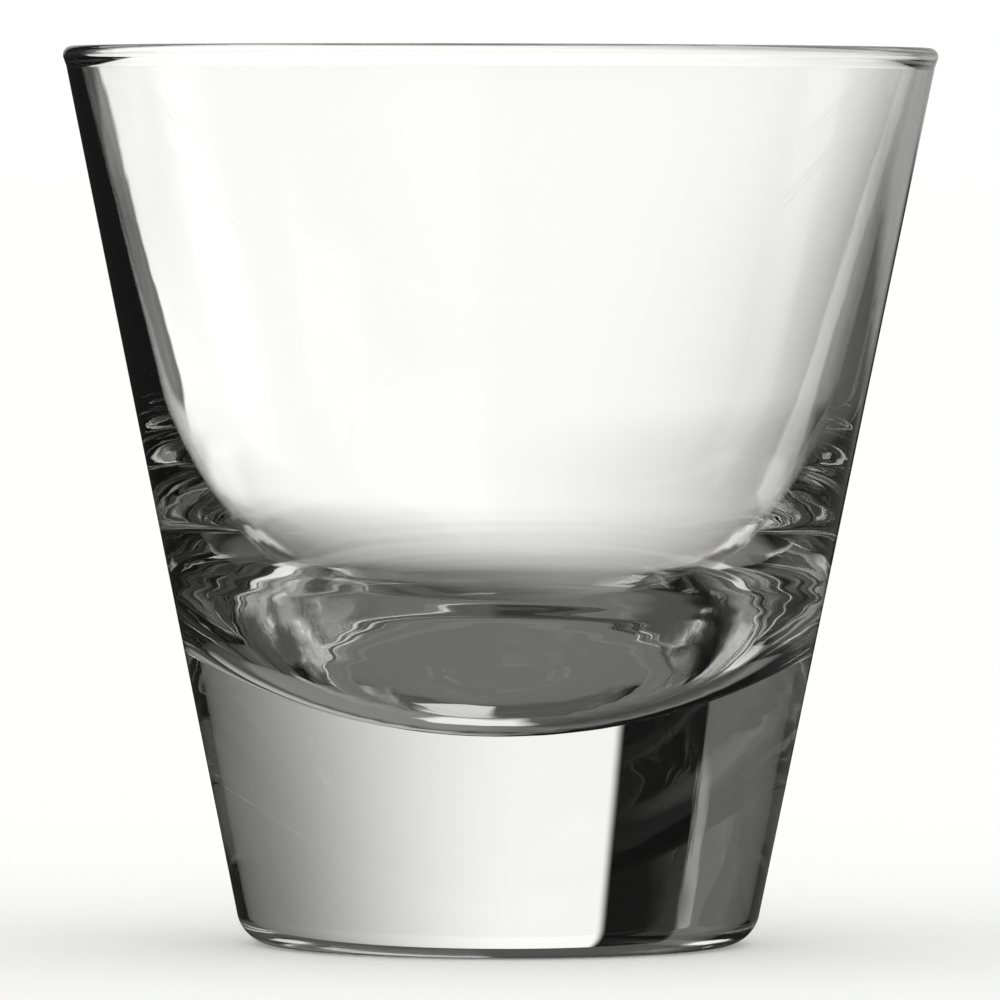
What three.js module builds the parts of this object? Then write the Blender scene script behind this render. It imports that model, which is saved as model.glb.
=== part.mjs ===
// A heavy-based drinking tumbler: one solid body of glass, turned about the upright axis.
// Sizes are in millimetres, +Z is up and the foot stands on z = 0.
import * as THREE from "three";

// Overall sizes
const height = 92.3;
const rimRadius = 45;
const footRadius = 26.27; // where the outer wall's line meets the table, ahead of the heel's rounding
const heelRadius = 3.8;
const baseThickness = 24; // glass under the lowest point of the bowl

// Rim
const beadRadius = 0.9;
const beadStandOut = 0.12; // how far the bead stands outside the outer wall's line
const neckDrop = 1.8; // from the bead's centre down to where the walls start to swell
const wallAtRim = 1.28;

// Bowl: tangent arcs, each ending where its slope reaches the given angle from level
const bottomArcRadius = 30.2;
const coneArcRadius = 72.9;
const shoulderArcRadius = 23.2;
const bowlArcs = [
  { radius: bottomArcRadius, endDeg: 40 },
  { radius: coneArcRadius, endDeg: 46.4 },
  { radius: shoulderArcRadius, endDeg: 61.4 },
];
const wallArcRadius = 65.3; // eases the bowl into the straight inner wall

// Underside: a shallow hollow inside a flat standing ring
const hollowRadius = 18.5;
const hollowDepth = 0.8;

// Fineness
const turns = 64; // flats round the axis
const arcStepDeg = 6;
const beadSteps = 12;

const profile = [];
const add = (r, z) => profile.push(new THREE.Vector2(r, z));
const rad = THREE.MathUtils.degToRad;

// Points of an arc of the given centre and radius, from one angle to another, both ends counted
function arc(centre, radius, from, to, steps) {
  const points = [];
  for (let i = 0; i <= steps; i += 1) {
    const a = from + ((to - from) * i) / steps;
    points.push(new THREE.Vector2(centre.x + radius * Math.cos(a), centre.y + radius * Math.sin(a)));
  }
  return points;
}

// Angle, seen from a circle's centre, at which a line from an outside point touches the circle
function touchAngle(centre, radius, point, side) {
  const away = new THREE.Vector2().subVectors(point, centre);
  return Math.atan2(away.y, away.x) + side * Math.acos(radius / away.length());
}

// Outer wall: a straight line from the foot to beside the bead
const beadCentre = new THREE.Vector2(rimRadius - beadRadius, height - beadRadius);
const outerAtBead = rimRadius - beadStandOut;
const outerSlope = (outerAtBead - footRadius) / beadCentre.y;
const outerLean = Math.atan(outerSlope);
const outerAt = (z) => footRadius + outerSlope * z;
const neckZ = beadCentre.y - neckDrop;

// Underside, from the axis out to the standing ring
const hollowSphere = (hollowRadius ** 2 + hollowDepth ** 2) / (2 * hollowDepth);
const hollowHalf = Math.asin(hollowRadius / hollowSphere);
const hollowCentre = new THREE.Vector2(0, hollowDepth - hollowSphere);
arc(hollowCentre, hollowSphere, Math.PI / 2, Math.PI / 2 - hollowHalf, 5).forEach((p) => add(p.x, p.y));

// Heel: an arc that touches both the table and the outer wall
const heelCentre = new THREE.Vector2(outerAt(heelRadius) - heelRadius / Math.cos(outerLean), heelRadius);
arc(heelCentre, heelRadius, -Math.PI / 2, -outerLean, 6).forEach((p) => add(p.x, p.y));

// Neck and bead, over the top from outside to inside
const outerNeck = new THREE.Vector2(outerAt(neckZ), neckZ);
const innerAtBead = outerAtBead - wallAtRim;
const innerTop = new THREE.Vector2(innerAtBead, beadCentre.y);

// Bowl, from the axis outwards: each arc starts at the slope where the last one ended
const bowl = [];
let end = new THREE.Vector2(0, baseThickness);
let slope = 0;
for (const { radius, endDeg } of bowlArcs) {
  const centre = new THREE.Vector2(end.x - radius * Math.sin(slope), end.y + radius * Math.cos(slope));
  const next = rad(endDeg);
  const steps = Math.max(2, Math.ceil((endDeg - THREE.MathUtils.radToDeg(slope)) / arcStepDeg));
  const points = arc(centre, radius, slope - Math.PI / 2, next - Math.PI / 2, steps);
  bowl.push(...points.slice(bowl.length ? 1 : 0));
  end = points.at(-1);
  slope = next;
}

// The last arc ends where its tangent runs to the inner wall's place beside the bead
const wallArcCentre = new THREE.Vector2(
  end.x - wallArcRadius * Math.sin(slope),
  end.y + wallArcRadius * Math.cos(slope),
);
const wallStart = touchAngle(wallArcCentre, wallArcRadius, innerTop, -1);
bowl.push(...arc(wallArcCentre, wallArcRadius, slope - Math.PI / 2, wallStart, 4).slice(1));
const wallFoot = bowl.at(-1);
const innerSlope = (innerTop.x - wallFoot.x) / (innerTop.y - wallFoot.y);
const innerNeck = new THREE.Vector2(wallFoot.x + innerSlope * (neckZ - wallFoot.y), neckZ);

add(outerNeck.x, outerNeck.y);
const beadFrom = touchAngle(beadCentre, beadRadius, outerNeck, 1);
const beadTo = touchAngle(beadCentre, beadRadius, innerNeck, -1) + 2 * Math.PI;
arc(beadCentre, beadRadius, beadFrom, beadTo, beadSteps).forEach((p) => add(p.x, p.y));
add(innerNeck.x, innerNeck.y);
bowl.reverse().forEach((p) => add(p.x, p.y));

// Points that should lie on the axis are put exactly on it
profile[0].x = 0;
profile.at(-1).x = 0;

const glass = new THREE.MeshStandardMaterial({ color: 0xf2f4f1, roughness: 0.02, transparent: true, opacity: 0.35 });
const body = new THREE.Mesh(new THREE.LatheGeometry(profile, turns), glass);
body.geometry.rotateX(Math.PI / 2);
body.name = "glass_body";

const tumbler = new THREE.Group();
tumbler.name = "tumbler";
tumbler.add(body);

export default tumbler;
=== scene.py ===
"""A heavy-based drinking tumbler of clear glass on a pale table, in soft studio light.

The glass is one turned body. Its outline is a chain of straight lines and circle arcs, and the bowl
carries slow ripples a few thousandths of a millimetre high, as pressed glass does.
Lengths are in metres and angles in radians, +Z is up and the foot stands on z = 0. The formulas for
the studio's light have their lengths in millimetres and their angles in degrees instead.
"""

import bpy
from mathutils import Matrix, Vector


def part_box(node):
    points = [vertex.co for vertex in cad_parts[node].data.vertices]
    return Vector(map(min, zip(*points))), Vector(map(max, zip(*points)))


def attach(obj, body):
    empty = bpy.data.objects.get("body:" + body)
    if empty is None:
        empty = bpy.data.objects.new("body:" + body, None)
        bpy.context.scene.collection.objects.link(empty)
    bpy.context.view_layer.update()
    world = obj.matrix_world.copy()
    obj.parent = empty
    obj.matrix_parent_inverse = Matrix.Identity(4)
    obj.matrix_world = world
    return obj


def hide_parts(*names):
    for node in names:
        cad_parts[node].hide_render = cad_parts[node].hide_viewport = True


bl_info = {
    "name": "Heavy-based tumbler",
    "version": (1, 0, 0),
    "blender": (4, 5, 0),
    "location": "3D View > Sidebar > Tumbler",
    "description": "Makes a clear glass tumbler with a thick base, and a small studio to show it in",
    "category": "Add Mesh",
}

import bpy
import numpy as np
from bpy.props import FloatProperty, FloatVectorProperty, IntProperty, PointerProperty
from mathutils import Quaternion, Vector

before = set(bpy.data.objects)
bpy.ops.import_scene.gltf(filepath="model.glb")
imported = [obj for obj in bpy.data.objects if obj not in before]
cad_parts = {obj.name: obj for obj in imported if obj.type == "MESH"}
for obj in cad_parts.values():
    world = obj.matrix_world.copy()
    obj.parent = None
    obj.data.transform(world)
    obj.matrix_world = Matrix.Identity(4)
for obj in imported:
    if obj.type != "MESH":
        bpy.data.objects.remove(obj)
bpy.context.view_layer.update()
GLASS_LOW, GLASS_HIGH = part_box("glass_body")

# How many steps each stretch of the glass's outline has
STEPS = {
    "hollow": 18,
    "ring": 5,
    "heel": 20,
    "outer wall": 30,
    "bottom arc": 84,
    "cone arc": 32,
    "shoulder arc": 24,
    "wall arc": 28,
    "inner wall": 16,
    "bead": 36,
}
# The straight walls have a point this far short of the neck, which keeps their shading flat up to it
NECK_GAP = 0.0003

RIPPLE_WAVES = 7
RIPPLE_SEED = 4
# Lengths along the bowl from its lowest point: the ripples grow between the first two and fade between
# the last two
RIPPLE_REACH = (0.0, 0.004, 0.030, 0.040)

# Colour of the glass where the viewport shows plain colours, and of the table's mottling
VIEWPORT_GLASS = (0.93, 0.95, 0.93, 0.35)
MOTTLE_GREY = (0.5, 0.5, 0.5, 1.0)

# The table lies a hair under the foot and the drum's floor a little less, so no two faces coincide
TABLE_DROP = 0.00003
DRUM_DROP = 0.00002
DRUM_SIDES = 128
# The camera looks a hair to the right of the axis
AIM_ACROSS = 0.00007
GLASS_BOUNCES = 20
ALL_BOUNCES = 24

# ---------------------------------------------------------------- light, in millimetres and degrees

MM = 1000.0
DEGREES = 180 / np.pi
WARM_WHITE = (1.0, 0.998, 0.99, 1.0)

# Half the width of the lit strip at the glass, and how much that grows per unit of distance
STRIP_HALF, STRIP_SPREAD = 50.0, 0.19
# Brightness of the strip on the table, and what its left side adds to it
STRIP_LEVEL, STRIP_LEFT_GAIN = 1.16, 0.8
# Brightness beyond the strip's right edge, and in front of the glass
STRIP_END_LEVEL, FRONT_LEVEL = 0.05, 0.14
# The panel: brightness far from its peak, what the peak adds, the angle where that starts to fall, and
# how widely and how steeply it falls
PANEL_LEVEL, PANEL_GAIN = 0.2, 0.89
PANEL_PEAK, PANEL_WIDTH, PANEL_STEEPNESS = -4.5, 28.0, 1.9
# The grey room left of the dark cloth, and what a lighter card in it adds
ROOM_LEVEL, ROOM_CARD_GAIN = 0.14, 0.17
# How far the cloth's wavy end wanders, and how fine its waves are
CLOTH_WANDER, CLOTH_WAVES = 5.0, 75.0
# Copies of the lit set for the other sides: heading, and -1 where left and right are swapped
MORE_SETS = ((-90.0, -1), (135.0, 1))
# The glass's shade on the table: how much the place is stretched for it, and its middle there in metres
SHADE_STRETCH, SHADE_MIDDLE = (1.5, 1.0, 1.0), (-0.021, 0.0, 0.0)

# Patches of light on the table for mirrored light: from, to and softness across, the same away,
# brightness
# The first five are painted pools of light beside and under the foot, the last a lit patch far left
TABLE_LIGHT_PATCHES = (
    ((-105.0, -38.0, 9.0), (14.0, 42.0, 7.0), 1.3),
    ((-58.0, -28.0, 7.0), (-10.0, 20.0, 8.0), 0.85),
    ((-6.5, 2.5, 1.5), (25.5, 34.5, 1.5), 1.0),
    ((-24.0, 2.0, 4.0), (22.0, 60.0, 4.0), 0.26),
    ((42.0, 92.0, 9.0), (14.0, 38.0, 7.0), 1.0),
    ((-310.0, -240.0, 20.0), (110.0, 310.0, 20.0), 0.6),
)
# Cards on the wall: from, to and softness in degrees round the glass, the same upwards, brightness
WALL_CARDS = (
    ((108.0, 132.0, 2.0), (115.0, 215.0, 8.0), 1.0),
    ((60.0, 82.0, 9.0), (95.0, 235.0, 40.0), 1.3),
    ((-76.0, -58.0, 2.0), (110.0, 270.0, 8.0), 0.8),
)
# For mirrored light: the strip behind the glass, the room on the right, a painted ring of light under
# the heel and the table under the foot in painted shade
BACK_STRIP_LEVEL, RIGHT_ROOM_LEVEL, HEEL_LIGHT_RING_LEVEL, FOOT_SHADE_LEVEL = 0.5, 0.42, 0.2, 0.17
# Brightness of what the glass's face mirrors where no light stands
FACE_LOW = 0.02
# Over the wall: the soft light, the ceiling for bent light and the ceiling for the glass's face
LAMP_LEVEL, CEILING_LEVEL, FACE_CEILING_LEVEL = 0.8, 0.1, 0.9
# White that the camera sees behind the table
BACKDROP_LEVEL = 1.02


# ---------------------------------------------------------------- settings


def length(name, text, default):
    """A property that holds a length in metres."""
    return FloatProperty(
        name=name, description=text, default=default, subtype="DISTANCE", unit="LENGTH", precision=5
    )


def angle(name, text, degrees):
    """A property that holds an angle, given here in degrees."""
    return FloatProperty(
        name=name, description=text, default=np.radians(degrees), subtype="ANGLE", unit="ROTATION"
    )


def number(name, text, default, low=0.0, **more):
    """A property that holds a plain number."""
    return FloatProperty(name=name, description=text, default=default, min=low, **more)


def color(name, text, default):
    """A property that holds a colour."""
    return FloatVectorProperty(
        name=name, description=text, default=default, subtype="COLOR", size=3, min=0, max=1
    )


class TumblerShape(bpy.types.PropertyGroup):
    """The outline of the glass."""

    height: length("Height", "From the table to the top of the rim", GLASS_HIGH.z - GLASS_LOW.z)
    rim_radius: length("Rim radius", "Outside radius of the rim's bead", GLASS_HIGH.x)
    foot_radius: length("Foot radius", "Where the outer wall's line meets the table", 0.02627)
    heel_radius: length("Heel rounding", "Radius between the outer wall and the foot", 0.0038)
    base_thickness: length("Base thickness", "Glass under the lowest point of the bowl", 0.024)
    bead_radius: length("Bead radius", "Radius of the rounded rim", 0.0009)
    bead_stand_out: length("Bead stand-out", "How far the bead stands outside the wall", 0.00012)
    neck_drop: length("Neck drop", "From the bead's centre down to the start of its swelling", 0.0011)
    rim_wall: length("Wall at the rim", "Thickness of the wall beside the bead", 0.00128)
    bottom_arc_radius: length("Bottom arc", "Radius of the bowl round its lowest point", 0.0302)
    bottom_arc_end: angle("Bottom arc end", "Slope of the bowl where the bottom arc ends", 40)
    cone_arc_radius: length("Cone arc", "Radius of the bowl's nearly straight part", 0.0729)
    cone_arc_end: angle("Cone arc end", "Slope of the bowl where the cone arc ends", 46.4)
    shoulder_arc_radius: length("Shoulder arc", "Radius where the bowl turns up into the wall", 0.0232)
    shoulder_arc_end: angle("Shoulder arc end", "Slope of the bowl where the shoulder arc ends", 61.4)
    wall_arc_radius: length("Wall arc", "Radius that eases the bowl into the straight wall", 0.0653)
    hollow_radius: length("Hollow radius", "Radius of the shallow hollow under the foot", 0.0185)
    hollow_depth: length("Hollow depth", "Depth of the shallow hollow under the foot", 0.0008)
    turns: IntProperty(name="Turns", description="Steps round the axis", default=288, min=48, max=300)


class TumblerRipple(bpy.types.PropertyGroup):
    """The slow ripples that pressing and cooling leave in the bowl."""

    bowl_height: length("Bowl ripple", "Height of the ripples in the bowl", 0.000007)
    bowl_spacing: length("Bowl spacing", "Distance between the ripples in the bowl", 0.0022)


class TumblerFinish(bpy.types.PropertyGroup):
    """The clear glass."""

    tint: color("Tint", "Colour of the glass surface", (0.998, 0.998, 0.996))
    bulk_tint: color("Bulk tint", "Colour that long paths in the glass take on", (0.95, 0.951, 0.945))
    bulk_density: number("Bulk density", "How strongly the bulk tint shows", 34.0)
    ior: number("IOR", "How strongly the glass bends light", 1.52, low=1.0, max=3.0)
    polish: number("Waviness", "Depth of the fine waves that fire polishing leaves", 0.03, max=1)
    wear: number("Foot wear", "Roughness of the standing ring, scuffed by use", 0.18, max=1)


class TumblerStudio(bpy.types.PropertyGroup):
    """The table, the light and the camera."""

    table_color: color("Table", "Colour of the table", (0.95, 0.95, 0.95))
    table_radius: length("Table radius", "Distance from the glass to the table's edge", 30.0)
    table_light: number("Table light", "Brightness of the light on the table", 1.06)
    drum_radius: length("Studio radius", "Distance from the glass to the white panel behind it", 0.5)
    drum_height: length("Studio height", "Height of the panel and the dark cloth", 0.3)
    panel_light: number("Panel light", "Brightness of everything on the drum round the glass", 1.0)
    dark_light: number("Dark side", "Brightness of the dark cloth beside the panel", 0.006)
    camera_distance: length("Camera distance", "From the glass's axis to the camera", 1.229)
    camera_height: length("Camera height", "Height of the camera above the table", 0.0815)
    aim_height: length("Aim height", "Height on the axis that the camera looks at", 0.0457)
    lens: number("Lens", "Focal length on a 36 mm sensor", 429.9, low=1, subtype="DISTANCE_CAMERA")
    camera_roll: angle("Camera roll", "Turn of the camera about its own line of sight", 0.16)


# ---------------------------------------------------------------- shapes


def arc(centre, radius, start, end, steps):
    """Points of a circle: centre + radius * (cos a, sin a), with a running evenly from start to end."""
    a = np.linspace(start, end, steps + 1)
    return np.stack([centre[0] + radius * np.cos(a), centre[1] + radius * np.sin(a)], 1)


def line(start, end, steps):
    """Points of a straight line: start + t * (end - start), with t running evenly from 0 to 1."""
    t = np.linspace(0, 1, steps + 1)[:, None]
    return np.asarray(start) + t * (np.asarray(end) - np.asarray(start))


def touch_angle(centre, radius, point, side):
    """Angle, from the circle's centre, of the point where a line from outside touches the circle.

    It is the direction to the outside point, plus or minus the angle whose cosine is radius / distance.
    """
    away = np.asarray(point) - np.asarray(centre)
    return np.arctan2(away[1], away[0]) + side * np.arccos(radius / np.hypot(*away))


def glass_outline(s):
    """The outline (r, z) of the glass, from the axis underneath, out over the foot, up the outer wall,
    over the bead and down the inside to the axis again.

    The outer wall is the line r = foot radius + k z. The bowl is a chain of arcs that share their
    tangents: an arc that starts at (r, z) with slope a has its centre at (r - R sin a, z + R cos a).
    """
    bead = np.array([s.rim_radius - s.bead_radius, s.height - s.bead_radius])
    outer_at_bead = s.rim_radius - s.bead_stand_out
    k = (outer_at_bead - s.foot_radius) / bead[1]
    lean = np.arctan(k)
    neck_z = bead[1] - s.neck_drop

    sphere = (s.hollow_radius**2 + s.hollow_depth**2) / (2 * s.hollow_depth)
    half = np.arcsin(s.hollow_radius / sphere)
    hollow_centre = (0, s.hollow_depth - sphere)
    hollow = arc(hollow_centre, sphere, np.pi / 2, np.pi / 2 - half, STEPS["hollow"])
    heel_centre = (s.foot_radius + k * s.heel_radius - s.heel_radius / np.cos(lean), s.heel_radius)
    ring = line(hollow[-1], (heel_centre[0], 0), STEPS["ring"])
    heel = arc(heel_centre, s.heel_radius, -np.pi / 2, -lean, STEPS["heel"])
    outer_neck = np.array([s.foot_radius + k * neck_z, neck_z])
    short = NECK_GAP / (neck_z - s.heel_radius)
    wall = line(heel[-1], outer_neck + short * (heel[-1] - outer_neck), STEPS["outer wall"])
    outer = np.concatenate([wall, [outer_neck]])

    bowl = [np.array([[0.0, s.base_thickness]])]
    slope = 0.0
    for radius, end, steps in (
        (s.bottom_arc_radius, s.bottom_arc_end, STEPS["bottom arc"]),
        (s.cone_arc_radius, s.cone_arc_end, STEPS["cone arc"]),
        (s.shoulder_arc_radius, s.shoulder_arc_end, STEPS["shoulder arc"]),
    ):
        r, z = bowl[-1][-1]
        centre = (r - radius * np.sin(slope), z + radius * np.cos(slope))
        bowl.append(arc(centre, radius, slope - np.pi / 2, end - np.pi / 2, steps)[1:])
        slope = end
    r, z = bowl[-1][-1]
    centre = (r - s.wall_arc_radius * np.sin(slope), z + s.wall_arc_radius * np.cos(slope))
    inner_at_bead = (outer_at_bead - s.rim_wall, bead[1])
    wall_start = touch_angle(centre, s.wall_arc_radius, inner_at_bead, -1)
    bowl.append(arc(centre, s.wall_arc_radius, slope - np.pi / 2, wall_start, STEPS["wall arc"])[1:])
    foot = bowl[-1][-1]
    along = (neck_z - foot[1]) / (inner_at_bead[1] - foot[1])
    inner_neck = foot + along * (np.asarray(inner_at_bead) - foot)
    bowl.append(line(foot, inner_neck + short * (foot - inner_neck), STEPS["inner wall"])[1:])
    bowl.append([inner_neck])

    over_start = touch_angle(bead, s.bead_radius, outer_neck, 1)
    over_end = touch_angle(bead, s.bead_radius, inner_neck, -1) + 2 * np.pi
    over = arc(bead, s.bead_radius, over_start, over_end, STEPS["bead"])
    points = np.concatenate([hollow, ring[1:], heel[1:], outer[1:], over, np.concatenate(bowl)[::-1]])
    points[[0, -1], 0] = 0.0
    return points


def waves(along, turn, spacing, count, seed):
    """Slow waves over a turned surface: the sum of b cos(2 pi along / L + m turn + p) over the root of
    their number, with lengths L about the spacing, whole numbers m of waves round the axis, phases p
    and weights b."""
    rng = np.random.default_rng(seed)
    total = np.zeros(np.broadcast(along, turn).shape)
    for m in range(count):
        wave = spacing * rng.uniform(0.7, 1.6)
        phase = rng.uniform(0, 2 * np.pi)
        weight = rng.uniform(0.5, 1.0)
        total = total + np.cos(2 * np.pi * along / wave + m // 2 * turn + phase) * weight
    return total / np.sqrt(count)


def window(value, rise_from, rise_to, fall_from, fall_to):
    """0 outside the range and 1 inside it, with half-cosine slopes at both ends."""
    up = np.clip((value - rise_from) / (rise_to - rise_from), 0, 1)
    down = np.clip((fall_to - value) / (fall_to - fall_from), 0, 1)
    return (0.5 - 0.5 * np.cos(np.pi * up)) * (0.5 - 0.5 * np.cos(np.pi * down))


def turned_mesh(name, outline, turns, lift):
    """A closed mesh turned about the upright axis.

    The point at outline place j and turn t is (r cos t, r sin t, z), moved by lift(t)[j] along the
    outline's own normal (dz, -dr). The first and last places are single points on the axis.
    """
    step = np.gradient(outline, axis=0)
    normal = np.stack([step[:, 1], -step[:, 0]], 1) / np.hypot(step[:, 0], step[:, 1])[:, None]
    t = np.arange(turns) * 2 * np.pi / turns
    rings = outline[1:-1, None, :] + lift(t)[1:-1, :, None] * normal[1:-1, None, :]
    r, z = rings[..., 0], rings[..., 1]
    body = np.stack([r * np.cos(t), r * np.sin(t), z], -1).reshape(-1, 3)
    low, high = [[0, 0, outline[0, 1]]], [[0, 0, outline[-1, 1]]]
    points = np.concatenate([low, body, high])

    count = len(outline) - 2
    i = np.arange(turns)
    after = (i + 1) % turns
    j = np.arange(count - 1)[:, None] * turns + 1
    quads = np.stack([j + i, j + after, j + turns + after, j + turns + i], -1).reshape(-1, 4)
    last = (count - 1) * turns + 1
    under = np.stack([np.zeros_like(i), after + 1, i + 1], 1)
    above = np.stack([np.full_like(i, len(points) - 1), last + i, last + after], 1)

    mesh = bpy.data.meshes.new(name)
    mesh.from_pydata(points.tolist(), [], quads.tolist() + under.tolist() + above.tolist())
    mesh.polygons.foreach_set("use_smooth", np.ones(len(mesh.polygons), dtype=bool))
    mesh.update()
    return mesh


def glass_mesh(s, ripple):
    """The tumbler's mesh: its outline turned about the axis, with ripples in the bowl.

    The ripples are waves along the way from the bowl's lowest point, times a window of that way.
    """
    outline = glass_outline(s)
    path = np.concatenate([[0], np.cumsum(np.hypot(*np.diff(outline, axis=0).T))])
    inward = (path[-1] - path)[:, None]
    reach = window(inward, *RIPPLE_REACH)

    def lift(t):
        bowl = waves(inward, t[None, :], ripple.bowl_spacing, RIPPLE_WAVES, RIPPLE_SEED) * reach
        return ripple.bowl_height * bowl

    return turned_mesh("glass", outline, s.turns, lift)


def drum_mesh(radius, height):
    """A round wall on a round table. A point of the wall is (R sin t, R cos t, h), and one of the table
    (k R sin t, k R cos t, 0)."""
    t = np.arange(DRUM_SIDES) * 2 * np.pi / DRUM_SIDES
    circle = np.stack([radius * np.sin(t), radius * np.cos(t), np.zeros_like(t)], 1)
    rings = ((0.02, 0.0), (1.0, 0.0), (1.0, 0.5), (1.0, 1.0))  # shares of the radius and the height
    points = np.concatenate([k * circle + (0, 0, h * height) for k, h in rings] + [np.zeros((1, 3))])
    points[:, 2] -= DRUM_DROP
    i = np.arange(DRUM_SIDES)
    after = (i + 1) % DRUM_SIDES
    j = np.arange(len(rings) - 1)[:, None] * DRUM_SIDES
    quads = np.stack([j + i, j + after, j + DRUM_SIDES + after, j + DRUM_SIDES + i], -1).reshape(-1, 4)
    middle = np.stack([np.full_like(i, len(points) - 1), after, i], 1)
    mesh = bpy.data.meshes.new("studio_drum")
    mesh.from_pydata(points.tolist(), [], quads.tolist() + middle.tolist())
    return mesh


def table_mesh(far):
    """A flat square whose corners are (far, far) from the axis either way."""
    corners = np.array([[-far, -far, 0], [far, -far, 0], [far, far, 0], [-far, far, 0]])
    corners = corners - (0, 0, TABLE_DROP)
    mesh = bpy.data.meshes.new("table")
    mesh.from_pydata(corners.tolist(), [], [(0, 1, 2, 3)])
    return mesh


# ---------------------------------------------------------------- nodes


class Wiring:
    """Adds nodes to a tree one after another. Each input may be a number or another node's output."""

    def __init__(self, tree):
        self.tree = tree
        tree.nodes.clear()

    def node(self, kind, inputs=None, **settings):
        """A new node with its settings and inputs."""
        made = self.tree.nodes.new(kind)
        for key, value in settings.items():
            setattr(made, key, value)
        for key, value in (inputs or {}).items():
            self.put(made.inputs[key], value)
        return made

    def put(self, socket, value):
        """Links another node's output to the socket, or sets the socket to a plain value."""
        if isinstance(value, bpy.types.NodeSocket):
            self.tree.links.new(value, socket)
        else:
            socket.default_value = value

    def maths(self, operation, *values):
        """One step of arithmetic."""
        made = self.node("ShaderNodeMath", operation=operation)
        for socket, value in zip(made.inputs, values):
            self.put(socket, value)
        return made.outputs[0]

    def chain(self, operation, values):
        """The same step with each further value in turn."""
        total = values[0]
        for value in values[1:]:
            total = self.maths(operation, total, value)
        return total

    def times(self, *values):
        """The product of the values."""
        return self.chain("MULTIPLY", values)

    def plus(self, *values):
        """The sum of the values."""
        return self.chain("ADD", values)

    def larger(self, *values):
        """The largest of the values."""
        return self.chain("MAXIMUM", values)

    def minus(self, value, other):
        """The value less the other."""
        return self.maths("SUBTRACT", value, other)

    def scaled(self, value, factor, offset):
        """value * factor + offset."""
        return self.maths("MULTIPLY_ADD", value, factor, offset)

    def ease(self, value, start, end, low=0.0, high=1.0):
        """Runs smoothly from low at start to high at end."""
        made = self.node("ShaderNodeMapRange", interpolation_type="SMOOTHSTEP")
        for socket, given in zip(made.inputs, (value, start, end, low, high)):
            self.put(socket, given)
        return made.outputs[0]

    def blend(self, factor, first, second):
        """first where the factor is 0, second where it is 1."""
        made = self.node("ShaderNodeMix", data_type="FLOAT")
        for socket, given in ((0, factor), (2, first), (3, second)):
            self.put(made.inputs[socket], given)
        return made.outputs[0]

    def band(self, value, low, high, soft, level=1.0):
        """The level between low and high and 0 outside, with edges that are soft on both sides."""
        rise = self.ease(self.minus(value, low), -soft, soft)
        return self.times(rise, self.ease(value, high + soft, high - soft, 0.0, level))

    def card(self, value, sides, other, ends, level):
        """A soft-edged rectangle of the given level: a band of one value times a band of the other."""
        return self.times(self.band(value, *sides), self.band(other, *ends), level)

    def noise(self, place, scale, detail, roughness=0.5):
        """Smooth noise about 0.5 over a place."""
        inputs = {"Vector": place, "Scale": scale, "Detail": detail, "Roughness": roughness}
        return self.node("ShaderNodeTexNoise", inputs).outputs[0]

    def place(self, kind="Object"):
        """The place of the shaded point on its object, in metres. For a world it is a direction."""
        return self.node("ShaderNodeTexCoord").outputs[kind]

    def split(self, place):
        """The x, y and z of a place."""
        return self.node("ShaderNodeSeparateXYZ", {0: place}).outputs

    def turn(self, across, away):
        """The angle round the glass in degrees: 0 straight away from the camera, more to the right."""
        return self.times(self.maths("ARCTAN2", across, away), DEGREES)

    def ray(self, kind):
        """What the light path says about the ray."""
        return self.node("ShaderNodeLightPath").outputs[kind]


def new_material(name):
    """An empty node material and its wiring."""
    material = bpy.data.materials.new(name)
    material.use_nodes = True
    return material, Wiring(material.node_tree)


# ---------------------------------------------------------------- materials


def clear_glass(s):
    """Clear pressed glass: fire-polished with faint waves, and scuffed on the ring it stands on."""
    material, w = new_material("clear_glass")
    place = w.place()
    height = w.split(place)["Z"]
    scuffs = w.noise(place, scale=900.0, detail=4.0, roughness=0.7)
    on_the_ring = w.ease(height, 0.0004, 0.0001)
    worn = w.times(on_the_ring, w.ease(scuffs, 0.35, 0.65, 0.4, 1.0))
    polish = w.noise(place, scale=160.0, detail=2.0)
    bump = w.node("ShaderNodeBump", {"Strength": s.polish, "Distance": 0.0002, "Height": polish})
    glass = w.node(
        "ShaderNodeBsdfPrincipled",
        {
            "Base Color": (*s.tint, 1.0),
            "IOR": s.ior,
            "Transmission Weight": 1.0,
            "Roughness": w.times(worn, s.wear),
            "Normal": bump.outputs[0],
        },
    )
    absorbed = {"Color": (*s.bulk_tint, 1.0), "Density": s.bulk_density}
    bulk = w.node("ShaderNodeVolumeAbsorption", absorbed)
    w.node("ShaderNodeOutputMaterial", {"Surface": glass.outputs[0], "Volume": bulk.outputs[0]})
    material.diffuse_color = VIEWPORT_GLASS
    return material


def pale_table(s):
    """A matt white table top with the faintest mottling."""
    material, w = new_material("pale_table")
    mottle = w.ease(w.noise(w.place(), scale=30.0, detail=3.0), 0.3, 0.7, 0.0, 0.01)
    shade = w.node("ShaderNodeMix", {0: mottle}, data_type="RGBA")
    w.put(shade.inputs[6], (*s.table_color, 1.0))
    w.put(shade.inputs[7], MOTTLE_GREY)
    matt = w.node("ShaderNodeBsdfDiffuse", {"Color": shade.outputs[2]})
    w.node("ShaderNodeOutputMaterial", {"Surface": matt.outputs[0]})
    return material


def across_strip(w, across, away):
    """The place across the lit strip: -1 at its left edge, 1 at its right edge."""
    return w.maths("DIVIDE", across, w.scaled(w.larger(away, 0.0), STRIP_SPREAD, STRIP_HALF))


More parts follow.
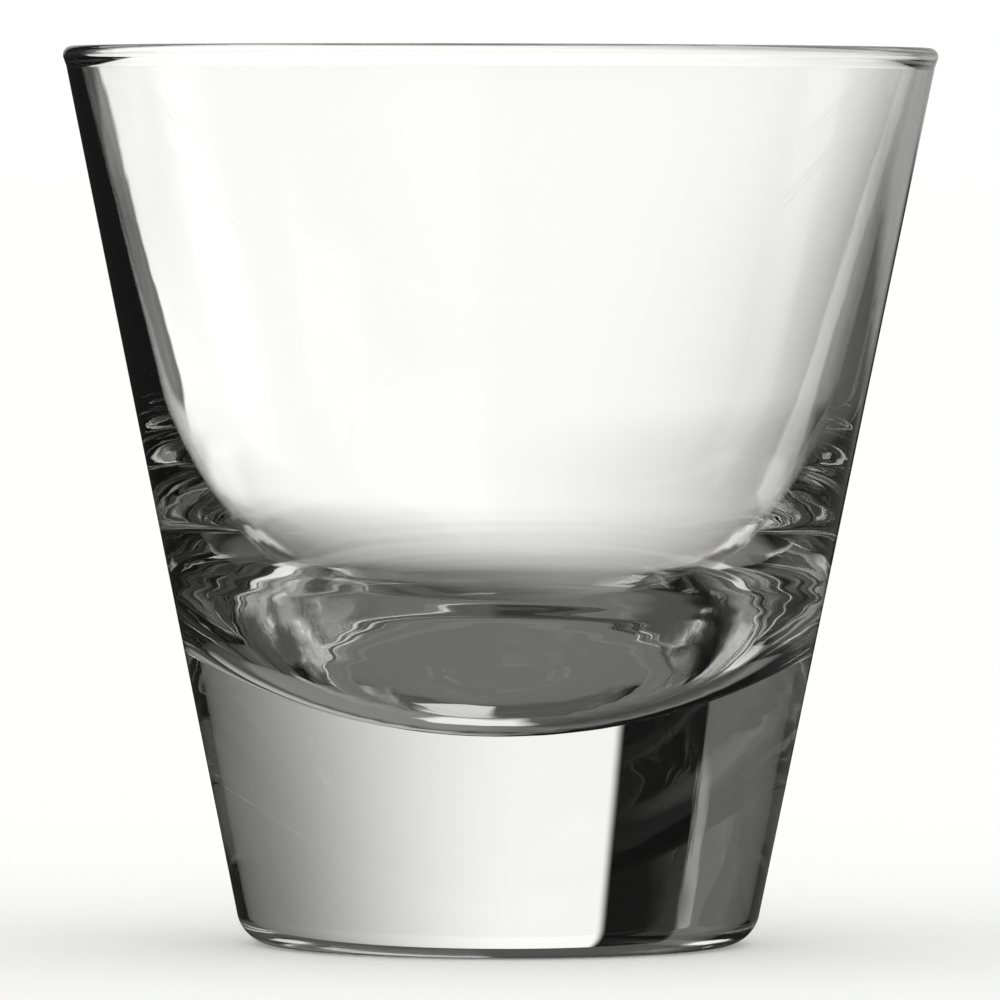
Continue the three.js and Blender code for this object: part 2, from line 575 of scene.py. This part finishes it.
def lit_strip(w, u, away, up):
    """Brightness of the strip that lies on the table.

    It is an even level, plus the square of the way left of u = -0.2, less a smooth fall to the right
    that weakens upwards, plus a paler stripe near the right edge. Beyond that edge it is dark, except
    far from the glass.
    """
    left = w.maths("POWER", w.larger(w.scaled(u, -1.0, -0.2), 0.0), 2.0)
    left = w.times(left, w.ease(away, 95.0, 205.0))
    right = w.ease(u, w.ease(away, 150.0, 500.0, -0.1, 0.05), 1.1)
    right = w.times(right, w.ease(away, 150.0, 500.0, 0.87, 0.64), w.ease(up, 15.0, 60.0, 1.0, 0.45))
    stripe = w.band(w.scaled(away, -0.0004, u), 0.65, 0.87, 0.02, 0.27)
    stripe = w.times(stripe, w.ease(up, 70.0, 40.0))
    level = w.plus(w.minus(w.scaled(left, STRIP_LEFT_GAIN, STRIP_LEVEL), right), stripe)
    past_the_end = w.times(w.ease(u, 0.95, 1.1), w.ease(away, 300.0, 200.0))
    return w.blend(past_the_end, level, STRIP_END_LEVEL)


def lit_panel(w, turn, up):
    """Brightness of the panel that the strip runs up into: a low level, plus a bell curve
    exp(-(angle right of the peak / width) ^ steepness), a little brighter high up."""
    from_peak = w.larger(w.minus(turn, PANEL_PEAK), 0.0)
    fall = w.maths("POWER", w.maths("DIVIDE", from_peak, PANEL_WIDTH), PANEL_STEEPNESS)
    bell = w.maths("EXPONENT", w.times(fall, -1.0))
    return w.times(w.scaled(bell, PANEL_GAIN, PANEL_LEVEL), w.ease(up, 108.0, 150.0, 1.0, 1.08))


def left_of_strip(w, s, place, u, turn, up, raised):
    """Brightness left of the strip: a grey border low down. Higher up there is dark cloth with a wavy
    end, then the grey room with a lighter card in it."""
    cloth_end = w.ease(up, 104.0, 90.0, -32.0, -24.0)
    cloth_end = w.scaled(w.noise(place, scale=CLOTH_WAVES, detail=3.0), CLOTH_WANDER, cloth_end)
    past = w.minus(turn, cloth_end)
    card = w.card(past, (-4.5, -1.0, 0.8), up, (108.0, 126.0, 4.0), ROOM_CARD_GAIN)
    room = w.plus(w.ease(past, 0.0, -1.5, s.dark_light, ROOM_LEVEL), card)
    border = w.ease(u, -1.02, -1.3, 0.17, 0.4)
    return w.blend(raised, border, room)


def bright_field(w, s, place, heading, side=1):
    """Brightness of one lit set as seen from the glass: a white strip that lies on the table and
    stands up again as a panel, with a sharp left edge and light that falls away to the right.

    heading turns the set about the glass and side = -1 swaps its left and right. Returns the
    brightness, how much of the strip or panel is here, and the distance away.
    """
    c, n = np.cos(np.radians(heading)), np.sin(np.radians(heading))
    x, y, z = w.split(place)
    across = w.minus(w.times(x, MM * c * side), w.times(y, MM * n * side))
    away = w.plus(w.times(x, MM * n), w.times(y, MM * c))
    up = w.times(z, MM)
    turn = w.turn(across, away)
    u = across_strip(w, across, away)
    raised = w.ease(up, 30.0, 80.0)
    lit = w.blend(w.ease(up, 60.0, 85.0), lit_strip(w, u, away, up), lit_panel(w, turn, up))
    left = left_of_strip(w, s, place, u, turn, up, raised)
    edge = w.ease(up, 5.0, 42.0, -1.03, -0.84)
    inside = w.ease(u, w.blend(raised, edge, -0.96), w.blend(raised, w.plus(edge, 0.045), -0.85))
    return w.blend(inside, left, lit), inside, away


def back_left_strip(w, place):
    """Brightness of one more strip on the table, which runs to the back left, for glass that is looked
    down into. Its half width grows with the distance."""
    x, y, z = w.split(place)
    slant = w.times(w.plus(x, y), MM * np.sqrt(0.5))
    beyond = w.times(w.minus(y, x), MM * np.sqrt(0.5))
    share = w.maths("DIVIDE", w.maths("ABSOLUTE", slant), w.scaled(beyond, 0.25, 55.0))
    strip = w.ease(share, 1.1, 0.7, 0.0, STRIP_LEVEL)
    return w.times(strip, w.ease(beyond, 0.0, 60.0), w.ease(w.times(z, MM), 60.0, 30.0))


def with_shade(w, place, light):
    """The light, less the soft oval shade of the glass on the table."""
    stretched = w.node("ShaderNodeVectorMath", {0: place, 1: SHADE_STRETCH}, operation="MULTIPLY")
    inputs = {0: stretched.outputs[0], 1: SHADE_MIDDLE}
    offset = w.node("ShaderNodeVectorMath", inputs, operation="DISTANCE").outputs["Value"]
    radius = w.times(offset, MM)
    shaded = w.maths("MINIMUM", light, w.ease(radius, 12.0, 30.0, 0.03, 0.1))
    return w.blend(w.ease(radius, 108.0, 20.0), light, shaded)


def dark_field(w, s, place):
    """Brightness of the studio for light that was mirrored inside the glass, or off its face.

    Mirrored light meets dark cloth and patches of light. Low down those are painted pools of light on
    the table by the foot, a lit patch far left, a grey strip behind the glass, the table beside the
    foot, the table under the foot in painted shade, a painted ring of light under the heel and the room
    on the right.
    Higher up they are WALL_CARDS. The face mirrors a wide grey light on the right.
    """
    across, away, up = (w.times(v, MM) for v in w.split(place))
    turn = w.turn(across, away)
    distance = w.node("ShaderNodeVectorMath", {0: place}, operation="LENGTH").outputs["Value"]
    radius = w.times(distance, MM)
    u = across_strip(w, across, away)

    # Patches of light on the table: painted pools of light by the foot, and a lit patch far left
    light_patches = [w.card(across, wide, away, deep, level) for wide, deep, level in TABLE_LIGHT_PATCHES]
    strip = w.card(u, (0.0, 0.75, 0.12), away, (80.0, 400.0, 20.0), BACK_STRIP_LEVEL)
    room = w.times(w.ease(w.plus(away, across), 440.0, 570.0), w.ease(across, 70.0, 100.0))
    room = w.times(room, RIGHT_ROOM_LEVEL)
    # A painted ring of light on the table under the heel
    ring = w.band(radius, 23.0, 24.4, 0.5, HEEL_LIGHT_RING_LEVEL)
    # The table under the foot, dim in painted shade
    under = w.times(w.ease(away, 45.0, 20.0), FOOT_SHADE_LEVEL)
    behind = w.times(w.ease(radius, 82.0, 62.0), w.ease(across, -2.0, 6.0, 0.22, 0.1))
    near = w.blend(w.ease(radius, 25.0, 50.0), under, behind)
    low = w.larger(w.ease(across, 60.0, 110.0, s.dark_light, 0.1), strip, room, ring, near, *light_patches)

    light_patches = [w.card(turn, wide, up, tall, level) for wide, tall, level in WALL_CARDS]
    high = w.larger(w.ease(across, -20.0, 40.0, 0.04, 0.12), *light_patches)

    face = w.band(turn, w.ease(up, 60.0, 100.0, 18.0, -17.0), 80.0, 5.0)
    face = w.larger(w.times(face, w.ease(up, 0.0, 45.0, 0.1, 0.52)), FACE_LOW)
    within = w.ease(w.ray("Transmission Depth"), 0.0, 1.0)
    return w.blend(within, face, w.blend(w.ease(up, 50.0, 130.0), low, high))


def drum_light(s):
    """What bent and mirrored rays meet round the glass: the lit sets, and the glass's own shade."""
    material, w = new_material("studio_drum")
    material.cycles.emission_sampling = "NONE"
    place = w.place()
    front, _, away = bright_field(w, s, place, 0.0)
    light = w.blend(w.ease(away, 5.0, -15.0), front, FRONT_LEVEL)
    for heading, side in MORE_SETS:
        more, inside, beyond = bright_field(w, s, place, heading, side)
        light = w.larger(light, w.times(more, inside, w.ease(beyond, 0.0, 60.0)))
    light = with_shade(w, place, w.larger(light, back_left_strip(w, place)))
    not_mirrored = w.ease(w.ray("Glossy Depth"), 1.0, 0.0)
    light = w.blend(not_mirrored, dark_field(w, s, place), light)
    light = w.times(light, s.panel_light)
    glow = w.node("ShaderNodeEmission", {"Color": WARM_WHITE, "Strength": light})
    w.node("ShaderNodeOutputMaterial", {"Surface": glow.outputs[0]})
    return material


def studio_world(s):
    """White all round for the camera and the table. Over the drum's wall, rays that were in the glass
    see a dim ceiling with a soft light high at the front right, and the glass's face mirrors a pale
    ceiling."""
    world = bpy.data.worlds.new("studio")
    bpy.context.scene.world = world
    world.use_nodes = True
    world.cycles.sampling_method = "NONE"
    w = Wiring(world.node_tree)
    x, y, z = w.split(w.place("Generated"))
    turn = w.turn(x, y)
    rise = w.times(w.maths("ARCSINE", z), DEGREES)
    lamp = w.card(turn, (104.0, 174.0, 6.0), rise, (26.0, 82.0, 2.0), LAMP_LEVEL)
    within = w.ease(w.ray("Transmission Depth"), 0.0, 1.0)
    ceiling = w.blend(within, FACE_CEILING_LEVEL, w.larger(lamp, CEILING_LEVEL))
    seen = w.ray("Is Camera Ray")
    white = w.larger(seen, w.ease(w.ray("Diffuse Depth"), 0.0, 1.0))
    strength = w.blend(white, ceiling, w.blend(seen, s.table_light, BACKDROP_LEVEL))
    sky = w.node("ShaderNodeBackground", {"Color": WARM_WHITE, "Strength": strength})
    w.node("ShaderNodeOutputWorld", {"Surface": sky.outputs[0]})


# ---------------------------------------------------------------- operators


def add_object(name, data, material=None):
    """A new object in the scene, with its material."""
    if material:
        data.materials.append(material)
    made = bpy.data.objects.new(name, data)
    bpy.context.scene.collection.objects.link(made)
    return made


class TUMBLER_OT_glass(bpy.types.Operator):
    """Make the glass body: the turned outline with its ripples, in clear glass"""

    bl_idname = "tumbler.glass"
    bl_label = "Make the glass"

    def execute(self, context):
        scene = context.scene
        mesh = glass_mesh(scene.tumbler_shape, scene.tumbler_ripple)
        if not mesh.polygons:
            raise RuntimeError("the glass came out empty")
        glass = add_object("tumbler_glass", mesh, clear_glass(scene.tumbler_finish))
        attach(glass, "root")
        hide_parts("glass_body")
        return {"FINISHED"}


class TUMBLER_OT_studio(bpy.types.Operator):
    """Make the stage: the table, the light round the glass and the camera"""

    bl_idname = "tumbler.studio"
    bl_label = "Make the studio"

    def execute(self, context):
        scene = context.scene
        s = scene.tumbler_studio
        table = add_object("table", table_mesh(s.table_radius), pale_table(s))
        table.visible_transmission = table.visible_glossy = False
        drum = add_object("studio_drum", drum_mesh(s.drum_radius, s.drum_height), drum_light(s))
        drum.visible_camera = drum.visible_diffuse = drum.visible_shadow = False
        studio_world(s)

        data = bpy.data.cameras.new("camera")
        data.lens = s.lens
        data.sensor_width = 36.0
        data.clip_start, data.clip_end = 0.01, 100.0
        camera = add_object("camera", data)
        camera.location = (0.0, -s.camera_distance, s.camera_height)
        look = Vector((AIM_ACROSS, 0.0, s.aim_height)) - camera.location
        roll = Quaternion((0, 0, 1), s.camera_roll)
        camera.rotation_mode = "QUATERNION"
        camera.rotation_quaternion = look.to_track_quat("-Z", "Y") @ roll
        scene.camera = camera

        scene.view_settings.view_transform = "Standard"
        scene.view_settings.look = "None"
        scene.cycles.max_bounces = ALL_BOUNCES
        scene.cycles.glossy_bounces = scene.cycles.transmission_bounces = GLASS_BOUNCES
        return {"FINISHED"}


class TUMBLER_PT_sidebar(bpy.types.Panel):
    """Lists the steps and their sizes in the 3D view's sidebar"""

    bl_idname = "TUMBLER_PT_sidebar"
    bl_label = "Tumbler"
    bl_space_type = "VIEW_3D"
    bl_region_type = "UI"
    bl_category = "Tumbler"

    def draw(self, context):
        scene = context.scene
        for operator, groups in (
            (TUMBLER_OT_glass, (scene.tumbler_shape, scene.tumbler_ripple, scene.tumbler_finish)),
            (TUMBLER_OT_studio, (scene.tumbler_studio,)),
        ):
            box = self.layout.box()
            box.operator(operator.bl_idname)
            for group in groups:
                for key in group.__annotations__:
                    box.prop(group, key)


GROUPS = {
    "tumbler_shape": TumblerShape,
    "tumbler_ripple": TumblerRipple,
    "tumbler_finish": TumblerFinish,
    "tumbler_studio": TumblerStudio,
}
CLASSES = (*GROUPS.values(), TUMBLER_OT_glass, TUMBLER_OT_studio, TUMBLER_PT_sidebar)


def register():
    for made in CLASSES:
        bpy.utils.register_class(made)
    for name, group in GROUPS.items():
        setattr(bpy.types.Scene, name, PointerProperty(type=group))


def unregister():
    for name in GROUPS:
        delattr(bpy.types.Scene, name)
    for made in reversed(CLASSES):
        bpy.utils.unregister_class(made)


def main():
    register()
    bpy.ops.tumbler.studio()
    bpy.ops.tumbler.glass()
    bpy.context.view_layer.update()


if __name__ == "__main__":
    main()
